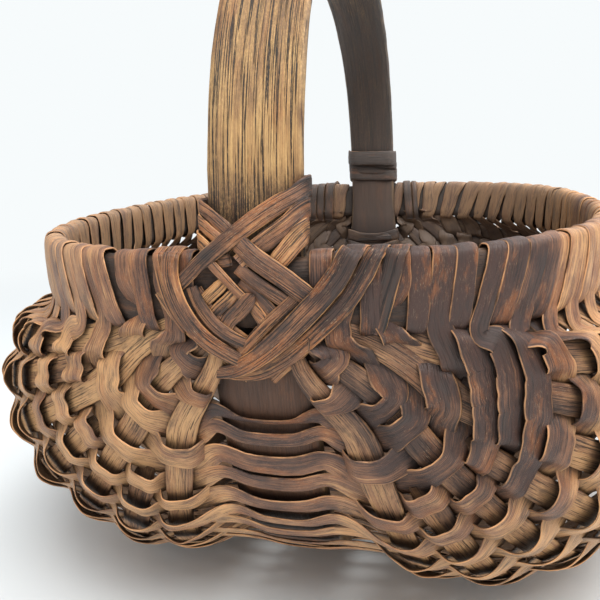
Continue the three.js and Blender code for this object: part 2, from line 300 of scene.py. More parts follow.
# A smooth line through stations, sampled at even steps
def smooth_line(stations, step=SAMPLE_STEP):
    keys = [k for k in stations[0] if k not in ("at", "across")]
    table = np.array([[*s["at"], *s["across"], *[s[k] for k in keys]] for s in stations], float)
    gaps = np.maximum(np.linalg.norm(np.diff(table[:, :3], axis=0), axis=1), 1e-3)
    slope = np.diff(table, axis=0) / gaps[:, None]
    tangent = np.empty_like(table)
    tangent[0], tangent[-1] = slope[0], slope[-1]
    h0, h1 = gaps[:-1, None], gaps[1:, None]
    tangent[1:-1] = (slope[:-1] * h1 + slope[1:] * h0) / (h0 + h1)
    runs = []
    for i, gap in enumerate(gaps):
        count = max(1, int(math.ceil(gap / step)))
        t = np.arange(count)[:, None] / count
        a, b, m, n = table[i], table[i + 1], tangent[i] * gap, tangent[i + 1] * gap
        runs.append((2 * t**3 - 3 * t**2 + 1) * a + (t**3 - 2 * t**2 + t) * m
                    + (3 * t**2 - 2 * t**3) * b + (t**3 - t**2) * n)
    runs.append(table[-1:])
    out = np.concatenate(runs)
    line = {"at": out[:, :3], "across": unit(out[:, 3:6])}
    for j, key in enumerate(keys):
        line[key] = out[:, 6 + j]
    return line


# A flat splint with rounded edges along a line, as a dict of arrays. Its grain is the place along and
# across it and its own number, and its shade is how near the edge is, grime with painted shade, and tone.
PROFILE = np.array([-1, -0.93, -0.6, 0, 0.6, 0.93])
GRAIN_APART = 3.7
BASKET_MIDDLE = np.array([0.0, 0.0, -40.0])
BASKET_FORM = np.array([1, 0.75, 1])
splint_numbers = itertools.count(1)

# Steps of a splint's random wander, and the length over which it fades where a hoop closes
EDGE_WAVE = 9
EDGE_RIPPLE = 2.2
BOW_WAVE = 14
LEAN_WAVE = 11
TONE_WAVE = 60
JOIN_FADE = 12


def splint(line, rough_edge, thickness=SPLINT_THICKNESS, closed=False, tone=0.0, roundness=6, warp=0.12):
    number = next(splint_numbers)
    rng = np.random.default_rng(1000 + number)
    at, across = line["at"], line["across"]
    count = len(at)
    if closed:
        tangent = unit(np.roll(at, -1, 0) - np.roll(at, 1, 0))
    else:
        tangent = unit(np.gradient(at, axis=0))
    across = unit(across - tangent * np.sum(across * tangent, 1, keepdims=True))
    normal = np.cross(across, tangent)
    length = lengths_along(at)
    fade = np.ones(count)
    if closed:
        fade = np.clip(np.minimum(length, length[-1] - length) / JOIN_FADE, 0, 1)
    half = []
    for _ in range(2):
        rough = wander(length, EDGE_WAVE, rng) + 0.5 * wander(length, EDGE_RIPPLE, rng)
        half.append(line["width"] / 2 * (1 + fade * rough_edge * rough))
    thick = thickness * line.get("fullness", np.ones(count)) / 2
    bow = fade * warp * wander(length, BOW_WAVE, rng)
    lean = line["lean"] + fade * warp * wander(length, LEAN_WAVE, rng)

    ring = np.concatenate([PROFILE, -PROFILE])
    top = np.concatenate([np.ones(len(PROFILE)), -np.ones(len(PROFILE))])
    rise = np.sqrt(np.clip(1 - np.abs(ring) ** roundness, 0, 1)) * top
    reach = np.stack(half, 1)[:, np.where(ring > 0, 1, 0)] * ring
    height = thick[:, None] * rise + bow[:, None] * ring**2 + lean[:, None] * ring
    points = at[:, None] + across[:, None] * reach[..., None] + normal[:, None] * height[..., None]
    size = len(ring)
    here = np.arange(count if closed else count - 1)[:, None] * size
    ahead = (here + size) % (count * size)
    corner = np.arange(size)[None]
    turned = (corner + 1) % size
    faces = np.stack([here + corner, ahead + corner, ahead + turned, here + turned], -1).reshape(-1, 4)
    caps = [] if closed else [list(range(size))[::-1], list(range((count - 1) * size, count * size))]

    outward = unit((at - BASKET_MIDDLE) * BASKET_FORM)
    # Grime and painted shade: darker where the station says so and on faces turned into the basket
    inner = np.clip(0.5 - np.sum(normal * outward, 1)[:, None] * top[None], 0, 1)
    grime_and_shade = np.clip(inner * 0.5 + line["grime_and_shade_amount"][:, None], 0, 1)
    own_tone = tone + 0.5 * wander(length, TONE_WAVE, rng)[:, None] + 0 * inner
    grain = np.stack([length[:, None] + 0 * reach, reach, np.full(reach.shape, number * GRAIN_APART)], -1)
    shade = np.stack([np.abs(ring)[None] + 0 * reach, grime_and_shade, own_tone], -1)
    return {"points": points.reshape(-1, 3), "faces": faces, "caps": caps,
            "grain": grain.reshape(-1, 3), "shade": shade.reshape(-1, 3)}


# How grey the wood is: most toward the back, where it is a painted haze, and some on the left of the rim, as
# dust
def dust_and_haze_at(points):
    x, y, z = points.T
    on_left_rim = 0.7 * smooth_part(-x, 30, 70) * smooth_part(z, -16, -4)
    return np.maximum(smooth_part(y, 0, 90), on_left_rim)


def add_piece(name, parts, material, nodes):
    points = np.concatenate([p["points"] for p in parts])
    faces = []
    start = 0
    for part in parts:
        faces.extend((part["faces"] + start).tolist())
        faces.extend([[i + start for i in cap] for cap in part["caps"]])
        start += len(part["points"])
    mesh = bpy.data.meshes.new(name)
    mesh.from_pydata((points * MM + (0, 0, rim_level)).tolist(), [], faces)
    for key in ("grain", "shade"):
        values = np.concatenate([p[key] for p in parts]).astype(np.float32)
        attribute = mesh.attributes.new(key, "FLOAT_VECTOR", "POINT")
        attribute.data.foreach_set("vector", values.ravel())
    dust_and_haze = mesh.attributes.new("dust_and_haze", "FLOAT", "POINT")
    dust_and_haze.data.foreach_set("value", dust_and_haze_at(points).astype(np.float32))
    mesh.shade_smooth()
    piece = bpy.data.objects.new(name, mesh)
    bpy.context.scene.collection.objects.link(piece)
    mesh.materials.append(material)
    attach(piece, "root")
    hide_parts(*nodes)


# A colour from its six-digit code, as linear red, green and blue, and full cover
def rgb(code):
    values = [((code >> s) & 255) / 255 for s in (16, 8, 0)]
    return tuple(v / 12.92 if v <= 0.04045 else ((v + 0.055) / 1.055) ** 2.4 for v in values) + (1,)


# The shader nodes of a material or world. An input is joined to an output or set to a value.
class Nodes:
    def __init__(self, owner):
        owner.use_nodes = True
        self.tree = owner.node_tree
        self.tree.nodes.clear()

    def add(self, kind, inputs=None, **settings):
        made = self.tree.nodes.new(kind)
        for name, value in settings.items():
            setattr(made, name, value)
        for name, value in (inputs or {}).items():
            if isinstance(value, bpy.types.NodeSocket):
                self.tree.links.new(value, made.inputs[name])
            else:
                made.inputs[name].default_value = value
        return made

    def math(self, operation, a, b):
        return self.add("ShaderNodeMath", {0: a, 1: b}, operation=operation).outputs[0]

    def product(self, first, *others):
        for other in others:
            first = self.math("MULTIPLY", first, other)
        return first

    def ranged(self, value, low, high, to_low=0.0, to_high=1.0):
        inputs = {"Value": value, "From Min": low, "From Max": high, "To Min": to_low, "To Max": to_high}
        return self.add("ShaderNodeMapRange", inputs).outputs[0]

    def mix(self, a, b, *amount):
        inputs = {"Factor": self.product(*amount), "A": a, "B": b}
        return self.add("ShaderNodeMix", inputs, data_type="RGBA").outputs["Result"]


# Colours that all the wood shares
RUST = rgb(0xB0672F)
STAIN = rgb(0x3B322D)
PALE_FLECK = rgb(0xC4AE8C)
PORE = rgb(0x140E0B)
DARK_DIRT = rgb(0x382E28)
PALE_DIRT = rgb(0xB09A78)
# Grime with painted shade, dust with painted haze, painted shade in hollows, and painted shade inside the
# basket
GRIME_AND_SHADE = rgb(0x2A2522)
DUST_AND_HAZE = rgb(0x7E756E)
HOLLOW_SHADE = rgb(0x15100C)
INSIDE_SHADE = rgb(0x1A1517)

# How much of its colour each lays over the wood, from 0 to 1
GRIME_AND_SHADE_COVER = 0.55
DUST_AND_HAZE_COVER = 0.38
HOLLOW_SHADE_COVER = 0.68
INSIDE_SHADE_COVER = 0.5

# Distances in metres. The painted shade on the wood inside grows over a range of depths below the middle of
# the rim.
HOLLOW_SHADE_DISTANCE = 0.012
BUMP_DISTANCE = 0.0005
INSIDE_BELOW_RIM = (0.008, 0.018)
MIDDLE_HEIGHT = 0.07

# Where the dark, middle and light colours lie in the wood's blend
TONE_STOPS = (0.27, 0.5, 0.72)


# Split oak, from the dark, middle and light colours of the wood and the colour of its edges, worn and with a
# painted highlight
def oak(name, dark, middle, light, edge, pores=0.5, pore_scale=(0.16, 5.5), pore_cover=0.56, edge_wear_and_highlight=0.6,
        dust=0.2, roughness=0.6, relief=0.5, banding=0.2, rust=0.3, stain=0.4, fibre_share=0.85, clusters=0.0,
        dirt=0.0):
    material = bpy.data.materials.new(name)
    nodes = Nodes(material)
    grain = nodes.add("ShaderNodeAttribute", attribute_name="grain").outputs["Vector"]
    shade = nodes.add("ShaderNodeAttribute", attribute_name="shade").outputs["Vector"]
    at_edge, grime_and_shade, tone = nodes.add("ShaderNodeSeparateXYZ", {0: shade}).outputs

    def noise(along, across, detail=3.0, rough=0.55):
        place = nodes.add("ShaderNodeMapping", {"Vector": grain, "Scale": (along, across, 1)}).outputs[0]
        inputs = {"Vector": place, "Scale": 1.0, "Detail": detail, "Roughness": rough}
        return nodes.add("ShaderNodeTexNoise", inputs).outputs["Fac"]

    fibre = noise(0.04, 3.4, 6.0, 0.7)
    band = noise(0.02, 0.5)
    blotch = noise(0.07, 0.16, 6.0, 0.62)
    patch = noise(0.05, 0.14, 6.0, 0.72)
    pore = noise(*pore_scale, rough=0.5)

    blend = nodes.math("ADD", nodes.product(band, banding), nodes.product(blotch, 1 - banding))
    blend = nodes.math("ADD", blend, nodes.product(nodes.math("SUBTRACT", fibre, 0.5), fibre_share))
    blend = nodes.math("ADD", blend, nodes.product(tone, 0.2))
    ramp = nodes.add("ShaderNodeValToRGB", {0: blend})
    stops = ramp.color_ramp.elements
    stops[0].position, stops[0].color = TONE_STOPS[0], rgb(dark)
    stops[1].position, stops[1].color = TONE_STOPS[2], rgb(light)
    stops.new(TONE_STOPS[1]).color = rgb(middle)
    color = nodes.mix(ramp.outputs[0], RUST, nodes.ranged(patch, 0.52, 0.64), rust)
    color = nodes.mix(color, STAIN, nodes.ranged(patch, 0.47, 0.36), stain)

    # The edges are lighter: partly wear, partly a painted highlight
    worn_and_highlit = nodes.product(nodes.ranged(at_edge, 0.88, 1.0), nodes.ranged(blotch, 0.38, 0.56))
    color = nodes.mix(color, rgb(edge), worn_and_highlit, edge_wear_and_highlight)
    fleck = nodes.ranged(noise(0.8, 4.5, 6.0, 0.8), 0.56, 0.64)
    color = nodes.mix(color, PALE_FLECK, fleck, nodes.ranged(patch, 0.42, 0.56), dust)
    if clusters:
        pore = nodes.math("ADD", pore, nodes.product(nodes.math("SUBTRACT", band, 0.5), clusters))
    pits = nodes.product(nodes.ranged(pore, pore_cover, pore_cover + 0.05),
                         nodes.ranged(tone, -2.4, -1.7, 0.25, 1.0),
                         nodes.ranged(noise(0.7, 4.0), 0.4, 0.47, 0.6, 1.0))
    color = nodes.mix(color, PORE, pits, pores)
    if dirt:
        speckle = noise(1.1, 2.6, 6.0, 0.85)
        dirty = nodes.product(nodes.ranged(tone, 0.2, -0.6), nodes.ranged(tone, -2.2, -1.7))
        color = nodes.mix(color, DARK_DIRT, nodes.ranged(speckle, 0.44, 0.54), dirty, dirt)
        color = nodes.mix(color, PALE_DIRT, nodes.ranged(speckle, 0.4, 0.34), dirty, dirt)
    # Grime and painted shade under the ribs, in the dips and on faces turned into the basket
    color = nodes.mix(color, GRIME_AND_SHADE, grime_and_shade, GRIME_AND_SHADE_COVER)
    # Dust, and toward the back a painted haze
    dust_and_haze = nodes.add("ShaderNodeAttribute", attribute_name="dust_and_haze").outputs["Fac"]
    color = nodes.mix(color, DUST_AND_HAZE, dust_and_haze, DUST_AND_HAZE_COVER)
    # Painted shade in the hollows, from ambient occlusion
    occlusion = nodes.add("ShaderNodeAmbientOcclusion", {"Distance": HOLLOW_SHADE_DISTANCE}, samples=8)
    color = nodes.mix(color, HOLLOW_SHADE, nodes.ranged(occlusion.outputs["AO"], 0.1, 0.7, HOLLOW_SHADE_COVER, 0.0))

    # Painted shade: the wood that faces into the basket below the rim is darker
    surface = nodes.add("ShaderNodeNewGeometry").outputs
    from_middle = nodes.add("ShaderNodeVectorMath", {0: surface["Position"], 1: (0, 0, MIDDLE_HEIGHT)},
                            operation="SUBTRACT")
    facing_out = nodes.add("ShaderNodeVectorMath", {0: surface["Normal"], 1: from_middle.outputs["Vector"]},
                           operation="DOT_PRODUCT")
    height = nodes.add("ShaderNodeSeparateXYZ", {0: surface["Position"]}).outputs["Z"]
    below_rim = nodes.ranged(height, *[rim_level - drop for drop in INSIDE_BELOW_RIM])
    facing_in = nodes.ranged(facing_out.outputs["Value"], 0.0, -0.03)
    color = nodes.mix(color, INSIDE_SHADE, facing_in, below_rim, INSIDE_SHADE_COVER)

    ridge = nodes.math("SUBTRACT", fibre, nodes.product(pits, 0.6))
    bump = nodes.add("ShaderNodeBump", {"Strength": relief, "Distance": BUMP_DISTANCE, "Height": ridge})
    dullness = nodes.ranged(fibre, 0.3, 0.7, roughness - 0.08, roughness + 0.12)
    shader = nodes.add("ShaderNodeBsdfPrincipled",
                       {"Base Color": color, "Roughness": dullness, "Normal": bump.outputs[0]})
    nodes.add("ShaderNodeOutputMaterial", {0: shader.outputs[0]})
    return material


handle_oak = oak("handle_oak", 0x64432F, 0xBD925D, 0xE2B87A, 0xE6BC84, pores=0.97, pore_scale=(0.045, 2.8),
                 pore_cover=0.525, dust=0.1, roughness=0.5, relief=0.8, banding=0.4, rust=0.25, stain=0.2,
                 fibre_share=0.8, clusters=0.4, dirt=0.75)
rim_oak = oak("rim_oak", 0x2E2019, 0x4B3425, 0x6B4A32, 0x7D5632)
rib_oak = oak("rib_oak", 0x4A3328, 0x936A4C, 0xCB9C6B, 0xB98550, pores=0.8, pore_scale=(0.1, 3.0),
              edge_wear_and_highlight=0.4, dust=0.5, rust=0.2, stain=0.6)
weaver_oak = oak("weaver_oak", 0x432C24, 0x8E6145, 0xD6A26E, 0xF0B078, pores=0.6, pore_scale=(0.12, 3.0),
                 edge_wear_and_highlight=0.95, dust=0.4, roughness=0.46, rust=0.4, stain=0.6)
lashing_oak = oak("lashing_oak", 0x432C22, 0x936241, 0xD09A62, 0xE8A868, pores=0.9, pore_scale=(0.07, 3.0),
                  pore_cover=0.53, edge_wear_and_highlight=0.85, dust=0.7, roughness=0.5, rust=0.6, stain=0.85)


# Hoops. The first half of a hoop's turn is the handle, or the right of the rim.
def hoop_turns():
    for turn in (np.arange(HOOP_STATIONS) + 0.5) * 2 * math.pi / HOOP_STATIONS:
        in_first_half = turn < math.pi
        yield in_first_half, float(forward(turn)), float(spread(turn if in_first_half else turn - math.pi))


def handle_line():
    stations = []
    for above, ahead, size in hoop_turns():
        widened = 0 if above else (KEEL_WIDTH - HANDLE_WIDTH) * min(1.0, size * 5)
        height = HANDLE_RISE * size if above else -KEEL_DEPTH * size
        stations.append(station((0, -handle_half_length * ahead, height), (1, 0, 0), HANDLE_WIDTH + widened,
                                grime_and_shade_amount=0.0 if above else 0.3))
    return as_line(stations)


def rim_line():
    stations = []
    for right, ahead, size in hoop_turns():
        x = RIM_HALF_WIDTH * size * (1 if right else -1)
        stations.append(station((x, -RIM_HALF_LENGTH * ahead, 0), (0, 0, 1), RIM_HEIGHT, grime_and_shade_amount=0.6))
    return as_line(stations)


# The handle is pale at the top, and dark toward the lashings and the back and along the keel
def handle_tone(points):
    _, y, z = points.T
    return (0.1 - 0.3 * smooth_part(39 - z, 0, 17) - 0.7 * smooth_part(31 - z, 0, 12)
            - 2.1 * smooth_part(-z, 5, 20) - 1.3 * smooth_part(y, 20, 80))


handle = splint(handle_line(), 0.008, HANDLE_THICKNESS, closed=True, roundness=HOOP_ROUNDNESS, warp=0.1)
handle["shade"][:, 2] += handle_tone(handle["points"])
add_piece("oak_handle", [handle], handle_oak, ["handle_hoop"])
rim = splint(rim_line(), 0.01, RIM_THICKNESS, closed=True, roundness=HOOP_ROUNDNESS, warp=0.05)
add_piece("oak_rim", [rim], rim_oak, ["rim_hoop"])


# Beside the lashings the rows run round the crossing, so just below the rim they draw in toward the ear
def drawn_in(row, share, side):
    from_ear = rows_from_end(row) + EXTRA_ROWS
    rows_in = DRAWN_IN * (1 - smooth_part(from_ear, 4, 15)) * (1 - smooth_part(share, 0.08, 0.6))
    if side > 0:
        rows_in += (DRAWN_IN_RIGHT * smooth_part(from_ear, 3, 9) * (1 - smooth_part(from_ear, 9, 20))
                    * smooth_part(share, 0, 0.35) * (1 - smooth_part(share, 0.35, 0.95)))
    return row_angle(row - rows_in * toward_middle(row))


def crossed_at(row, number, side):
    return float(drawn_in(row, rib_share(number, float(row_angle(row))), side))


# Ribs
def rib_part(number, side):
    tip = float(angle_of_spread(RIB_TIPS[number]))
    if RIB_TIPS[number] > EAR_SPREAD[0]:
        first = min(row for row in range(rows) if number in ribs_at(row))
        tip = crossed_at(first, number, side) - 0.7 * float(row_angle(first) - row_angle(first - 1))
    angles = np.linspace(tip, math.pi - tip, RIB_STATIONS)
    rng = np.random.default_rng(50 * number + side)
    at, _, down, _ = body_frame(angles, rib_share(number, angles), side)
    length = lengths_along(at)
    at = at + down * (0.5 * wander(length, 45, rng))[:, None]
    fullness = 0.55 + 0.45 * even_part(np.minimum(length, length[-1] - length), 0, 10)
    line = {"at": at, "across": down * side, "width": rib_width(angles) * fullness, "fullness": fullness,
            "grime_and_shade_amount": np.full(RIB_STATIONS, 0.1), "lean": np.zeros(RIB_STATIONS)}
    part = splint(line, 0.07, RIB_THICKNESS, roundness=8, warp=0.1, tone=0.3 + 0.4 * rng.uniform(-1, 1))
    part["shade"][:, 2] -= 1.2 * shadowed(part["points"])
    return part


for label, side in (("left", -1), ("right", 1)):
    for number in range(1, RIBS_PER_LOBE + 1):
        add_piece(f"oak_rib_{label}_{number}", [rib_part(number, side)], rib_oak,
                  [f"rib_{label}_{number}"])


# Weavers
# A splint is somewhat wider than the rows are apart, within limits, and differs from row to row
def splint_width(row, share, side):
    pitch = np.linalg.norm(body_point(drawn_in(row + 1.5, share, side), share, side)
                           - body_point(drawn_in(row - 1.5, share, side), share, side)) / 3
    own = 1 + 0.08 * math.sin(row * 2.4)
    return float(np.clip(pitch * SPLINT_SHARE_OF_PITCH * own, *SPLINT_WIDTHS))


# A positive lean raises the splint's edge on one side, and the rows run to and fro
def lean_to_ear(row):
    return -(1 if row % 2 == 0 else -1) * toward_middle(row)


# Where a splint crosses a rib. Outside the rib it bows out, with the edge toward the nearer ear raised.
# It bows more where the lobe is full and low, less near the ears, and not where it lies on the ground.
def rib_crossing(row, number, side, lift, rng, floats=False):
    angle = crossed_at(row, number, side)
    share = np.array(rib_share(number, angle))
    at, back, _, out = body_frame(np.array(angle), share, side)
    from_end = rows_from_end(row)
    inner_row = float(smooth_part(from_end, -1, 1))
    width = splint_width(row, share, side) * (0.72 + 0.28 * inner_row)
    fullness = float(smooth_part(spread(angle), 0.3, 0.75))
    low = float(smooth_part(share, 0.4, 0.75)) * float(smooth_part(spread(angle), 0.3, 0.45))
    above_ground = 1 - float(smooth_part(-at[2], 70, 114))
    near_ear = 1 - float(smooth_part(from_end, 3, 9))
    bulge = rng.uniform(0.6, 1.5) + fullness * rng.uniform(0.4, 1.7) + low * rng.uniform(0.5, 1.6)
    bulge = bulge * above_ground * (1 - 0.6 * near_ear) if lift > 0 else rng.uniform(0, 0.3)
    slip = back * rng.uniform(-0.35, 0.35)
    lean = (rng.uniform(0.3, 0.6) + 0.4 * bulge) * lean_to_ear(row) if lift > 0 else 0.0
    if floats:
        bulge = FLOAT_PROUD
        slip = back * 0
        lean = FLOAT_LEAN * lean_to_ear(row)
    width = width if lift > 0 else width * 1.1
    middle = station(at + out * lift * (rib_out + bulge) + slip, back, width,
                     0.0 if lift > 0 else HIDDEN_GRIME_AND_SHADE, lean)
    edge_rise = 1 if floats else 0.55 + 0.4 * near_ear
    half = float(rib_width(angle)) / 2 / float(free_length(angle))
    edges = []
    for end in (-1, 1):
        away = end * half * (0.5 + 0.3 * float(smooth_part(from_end, -1, 2)))
        edge_angle = float(drawn_in(row, rib_share(number, float(row_angle(row))) + away, side))
        edge_angle = angle + (edge_angle - angle) * inner_row
        edge_at, edge_back, _, edge_out = body_frame(np.array(edge_angle), share + away, side)
        edge_at = edge_at + edge_out * lift * (rib_out + bulge * edge_rise) + slip
        edges.append(station(edge_at, edge_back, width, 0.1 if lift > 0 else HIDDEN_GRIME_AND_SHADE,
                             lean * (1 if floats else 0.8)))
    return [edges[0], middle, edges[1]]


# The splint where it passes between two ribs
def between_ribs(row, first, second, side, lift):
    angle = (crossed_at(row, first, side) + crossed_at(row, second, side)) / 2
    share = np.array((rib_share(first, angle) + rib_share(second, angle)) / 2)
    at, back, _, out = body_frame(np.array(angle), share, side)
    width = splint_width(row, share, side)
    if lift == 1:
        return station(at + out * (rib_out + FLOAT_PROUD), back, width, lean=FLOAT_LEAN * lean_to_ear(row))
    return station(at + out * lift * rib_out, back, width * 1.08, grime_and_shade_amount=0.5)


def keel_point(angle):
    return np.array([0, -handle_half_length * float(forward(angle)), -KEEL_DEPTH * float(spread(angle))])


# Near the ears most rows pass outside the keel, in uneven bands that sag toward the middle of the basket
def keel_crossing(row, lift, rng):
    from_end = rows_from_end(row)
    near_ear = 1 - float(smooth_part(spread(row_angle(row)), 0.75, 0.9))
    pitch = np.linalg.norm(keel_point(row_angle(row + 1.5)) - keel_point(row_angle(row - 1.5))) / 3
    width = float(np.clip(pitch * KEEL_SHARE_OF_PITCH, *SPLINT_WIDTHS)) * rng.uniform(0.85, 1.1)
    slip = rng.uniform(-0.1, 0.1)
    tip = rng.uniform(-0.5, 0.5)
    if from_end < KEEL_BAND_ROWS:
        lift = 1 if from_end in KEEL_BANDS else -1
        if lift > 0:
            place, width = KEEL_BANDS[from_end]
            slip = toward_middle(row) * (place - from_end - 0.35 * near_ear)
        if from_end < 0:
            tip = 0.8 * lean_to_ear(row)
    bulge = rng.uniform(0.3, 1.4) if lift > 0 else 0.1
    stations = []
    for x, rise in ((-1, 0), (-0.5, 0.8), (0, 1), (0.5, 0.8), (1, 0)):
        angle = row_angle(row + toward_middle(row) * near_ear * (KEEL_BAND_SAG * rise - 0.1) + slip)
        back = unit(keel_point(angle + SMALL_STEP) - keel_point(angle - SMALL_STEP))
        out = np.cross(back, (1, 0, 0))
        place = keel_point(angle) + out * lift * (keel_out + bulge * rise)
        place[0] = x * (KEEL_WIDTH / 2 + 0.6)
        stations.append(station(place, back, width if rise else max(width, LEAST_WIDTH_BESIDE_KEEL),
                                0.0 if lift > 0 else HIDDEN_GRIME_AND_SHADE, tip * rise * lift))
    return stations


def lobe_stations(row, side, lifts, rng):
    ribs = ribs_at(row)
    stations = []
    for i, number in enumerate(ribs):
        floats = side > 0 and row in FLOATING_ROWS and number in FLOATED_RIBS
        lift = 1 if floats else lifts[i]
        if i > 0:
            stations.append(between_ribs(row, ribs[i - 1], number, side, (last_lift + lift) / 2))
        stations += rib_crossing(row, number, side, lift, rng, floats)
        last_lift = lift
    return stations


# A row from the left rim to the right one in even rows, and back in odd rows
def row_stations(row, rng):
    count = len(ribs_at(row))
    lifts = [1 if (i + row) % 2 == 0 else -1 for i in range(2 * count + 1)]
    left = lobe_stations(row, -1, lifts[:count], rng)
    right = lobe_stations(row, 1, lifts[:count:-1], rng)
    stations = left + keel_crossing(row, lifts[count], rng) + right[::-1]
    return stations if row % 2 == 0 else stations[::-1]


def rim_point(angle, side):
    x = side * RIM_HALF_WIDTH * float(spread(angle))
    return np.array([x, -RIM_HALF_LENGTH * float(forward(angle)), 0])


# The place on a rounded oblong section at a turn, from -1 to 1 outward and up
def oblong(turn, power):
    c, s = math.cos(turn), math.sin(turn)
    return math.copysign(abs(c) ** power, c), math.copysign(abs(s) ** power, s)


# A splint's path round the rim. The turn is 0 outside, 90 degrees at the top and 180 inside.
def rim_station(place, side, turn, proud, width, slant, lean=0.0):
    outward, high = oblong(turn, 2 / WRAP_SQUARENESS)
    angle = row_angle(place + slant * (1 + high))
    back = unit(rim_point(angle + SMALL_STEP, side) - rim_point(angle - SMALL_STEP, side))
    out = np.cross(back, (0, 0, 1)) * side
    at = rim_point(angle, side) + out * (wrap_out + proud) * outward
    at[2] = (wrap_up + proud) * high
    return station(at, back, width, lean=lean)


# Where a splint hangs below the rim, outside it, on its way to or from a rib
def foot_station(place, side, drop, width, slant):
    foot = rim_station(place - slant * drop / RIM_HEIGHT * 2, side, 0.0, 0.0, width, 0.0)
    angle = row_angle(place)
    foot["at"] = foot["at"] + FOOT_PROUD * np.array([side * float(spread(angle)), -float(forward(angle)), 0])
    foot["at"][2] = -wrap_up - drop
    return foot


# How much room a row has between the rim and its first rib, 0 to 1
def room_below_rim(row, side):
    ribs = ribs_at(row)
    if not ribs:
        return 0.0
    angle = crossed_at(row, ribs[0], side)
    rib = -float(body_point(np.array(angle), rib_share(ribs[0], angle), side)[2])
    return float(even_part(rib - float(rib_width(angle)) / 2 - wrap_up, 0.5, 6.5))


# Two wraps round the rim where one row ends and the next begins. Outside the rim a wrap leans, with its
# foot toward the nearer ear. The path runs from the even row's foot to the odd row's end inside the rim.
def turn_stations(row, rng, part="whole"):
    right = row % 2 == 0
    side = 1 if right else -1
    from_ear = rows_from_end(row) + EXTRA_ROWS
    slant = WRAP_SLANT * smooth_part(from_ear, 0, 5) * (1 - 0.8 * smooth_part(from_ear, 8, 22))
    beside_lashing = 1 - float(smooth_part(from_ear, 4, 8))
    slant = float(slant) * (1 - 0.75 * beside_lashing if right else 1.0) * toward_middle(row)
    even_row = row if right else row + 1
    odd_row = row + 1 if right else row
    room = room_below_rim(even_row, side)
    slants = [slant * rng.uniform(0.85, 1.1) for _ in range(2)]
    widths = [row_pitch * rng.uniform(0.98, 1.22) for _ in range(2)]
    prouds = [rng.uniform(0, 0.3) + WRAP_LAYER * k for k in range(2)]
    leans = [rng.uniform(-0.3, 0.3) for _ in range(2)]
    places = [wrap_row + rng.uniform(-0.12, 0.12) for wrap_row in (even_row, odd_row)]
    if part == "whole":
        start, end = 0, 1
    elif (part == "arriving") == right:
        start, end = 0, 0.5
    else:
        start, end = 0.5, 1
    first, last = -40 * room + 5 * (1 - room), 565
    stations = []
    for k in range(int(start * WRAP_STATIONS), int(end * WRAP_STATIONS) + 1):
        turned = first + (last - first) * k / WRAP_STATIONS
        second = float(smooth_part(turned, 110, 250))
        place, proud, width, wrap_slant, lean = [
            pair[0] * (1 - second) + pair[1] * second for pair in (places, prouds, widths, slants, leans)]
        stations.append(rim_station(place, side, math.radians(turned), proud, width, wrap_slant, lean))
    if start == 0 and room > 0.3:
        stations.insert(0, foot_station(places[0], side, 4.0 * room, widths[0], slants[0]))
    if not right:
        stations.reverse()
    return stations


# The wood is darker in the shade, on the front of the rim apart from its left, and below the front
# lashing. It is paler toward the sides.
def weaver_tone(points):
    x, y, z = points.T
    on_front_rim = smooth_part(z, -20, -9) * (1 - smooth_part(y, 0, 60))
    below_lashing = (1 - smooth_part(np.abs(x), 24, 48)) * smooth_part(-y, 105, 114)
    return (1.0 + 0.15 * smooth_part(x, -60, 0) + 0.4 * smooth_part(np.abs(x), 65, 100)
            - 2.0 * shadowed(points) - 0.7 * below_lashing
            + (0.7 * smooth_part(-x, 30, 60) - 0.8) * on_front_rim)


def weaver_part(index):
    rng = np.random.default_rng(300 + index)
    first = index * ROWS_PER_WEAVER
    last = first + ROWS_PER_WEAVER - 1
    if index == 0:
        first -= EXTRA_ROWS
    if index == WEAVERS - 1:
        last += EXTRA_ROWS
    stations = turn_stations(first - 1, rng, "leaving")
    for row in range(first, last + 1):
        stations += row_stations(row, rng)
        stations += turn_stations(row, rng, "whole" if row < last else "arriving")
    part = splint(smooth_line(stations), 0.07, tone=rng.uniform(-0.3, 0.3))
    part["points"][:, 2] = np.maximum(part["points"][:, 2], -rim_level / MM)
    part["shade"][:, 2] += weaver_tone(part["points"])
    return part


for index in range(WEAVERS):
    add_piece(f"splint_weaver_{index + 1}", [weaver_part(index)], weaver_oak,
              [f"weaver_{index + 1}"])


